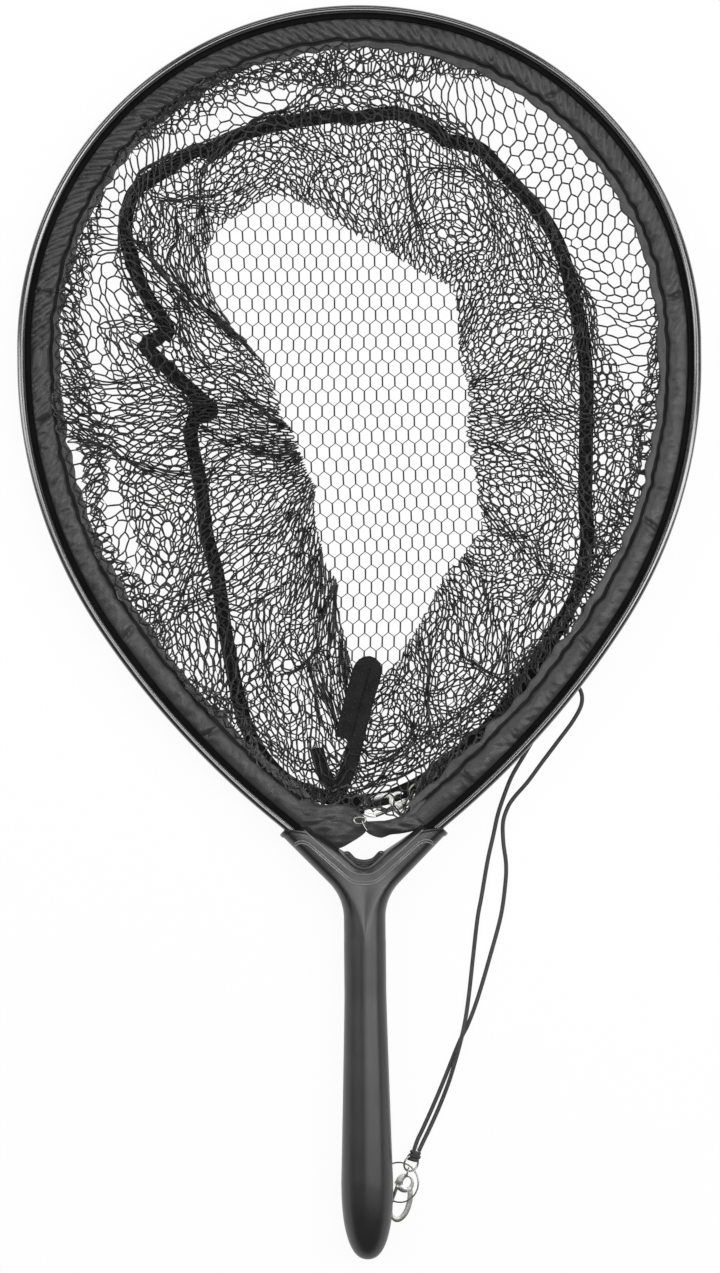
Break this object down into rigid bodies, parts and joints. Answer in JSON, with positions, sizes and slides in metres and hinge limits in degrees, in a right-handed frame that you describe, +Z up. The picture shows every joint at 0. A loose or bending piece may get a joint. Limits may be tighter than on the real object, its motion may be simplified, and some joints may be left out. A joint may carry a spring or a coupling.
{
  "type": "landing net",
  "caption": "Hand-held landing net with a teardrop hoop on a moulded forked handle, a padded hem, a folded mesh bag and a doubled elastic lanyard with clasps and a split ring.",
  "frame": {"origin": "on the floor below the middle of the net's length and width, as it lies flat on its back", "axes": "+Y towards the crown of the hoop, -Y towards the butt of the handle, +Z up out of the mouth of the bag, +X to the right as seen from above with the hoop uppermost"},
  "size_m": [0.41, 0.752, 0.0312],
  "materials": {
    "rim": "gloss black",
    "moulding": "satin charcoal",
    "steel": "plain",
    "hem_cloth": "satin woven nylon",
    "netting": "knotless knitted mesh",
    "tape": "woven tape",
    "cord": "braided elastic",
    "nickel": "polished nickel"
  },
  "bodies": {
    "net": {"hoop": "rim", "handle_front": "moulding", "handle_rear": "moulding", "handle_screws": "steel", "hem": "hem_cloth", "hem_ends": "hem_cloth", "hem_wire": "steel", "side_netting": "netting", "bottom_netting": "netting", "bottom_tape": "tape", "neck_tape": "tape", "neck_tab": "tape", "neck_ring": "nickel", "lanyard_left": "cord", "lanyard_right": "cord", "upper_knot": "cord", "upper_ring": "nickel", "upper_clasp": "nickel", "upper_gate_pin": "steel", "upper_gate_spring": "steel", "lower_knot": "cord", "lower_ring": "nickel"},
    "lower_clasp": {"lower_clasp": "nickel", "lower_gate_pin": "steel", "lower_gate_spring": "steel"},
    "lower_gate": {"lower_gate": "nickel"},
    "upper_gate": {"upper_gate": "nickel"},
    "split_ring": {"split_ring": "nickel"}
  },
  "joints": [
    {"name": "lower_clasp_swing", "type": "hinge", "parent": "net", "child": "lower_clasp", "pos_m": [0.0245, -0.3243, 0.0052], "axis": [0, 0, 1], "range_deg": [-2, 14]},
    {"name": "lower_gate_hinge", "type": "hinge", "parent": "lower_clasp", "child": "lower_gate", "pos_m": [0.01855, -0.33315, 0.00135], "axis": [0, 0, 1], "range_deg": [0, 16], "stiffness_Nm_per_rad": 0.02},
    {"name": "upper_gate_hinge", "type": "hinge", "parent": "net", "child": "upper_gate", "pos_m": [0.01978, -0.10549, 0.00198], "axis": [-0.0609, -0.0152, -0.998], "range_deg": [0, 16], "stiffness_Nm_per_rad": 0.02},
    {"name": "split_ring_turn", "type": "hinge", "parent": "net", "child": "split_ring", "pos_m": [0.0194, -0.3312, 0.00495], "axis": [-0.342, 0, 0.9397], "continuous": true}
  ]
}
